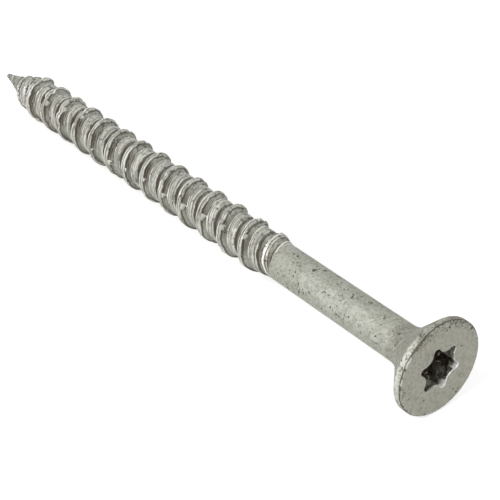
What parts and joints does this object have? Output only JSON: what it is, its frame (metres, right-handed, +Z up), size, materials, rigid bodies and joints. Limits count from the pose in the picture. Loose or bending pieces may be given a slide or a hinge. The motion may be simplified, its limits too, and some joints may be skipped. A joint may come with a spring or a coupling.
{
  "type": "masonry screw",
  "caption": "Countersunk masonry screw with a coarse high-low thread, a plain shank and a six-lobe drive recess, lying at rest.",
  "frame": {"origin": "bottom centre of the bounding box of the screw as it lies on a floor", "axes": "+X along the screw's length towards its head, +Z up; the screw's axis rises 1.93 degrees towards the head"},
  "size_m": [0.1102, 0.0138, 0.0139],
  "materials": {
    "coated_steel": "matt grey-green coating over rolled carbon steel, worn bright on the thread crests"
  },
  "bodies": {
    "root": {"masonry_screw": "coated_steel"}
  },
  "joints": []
}
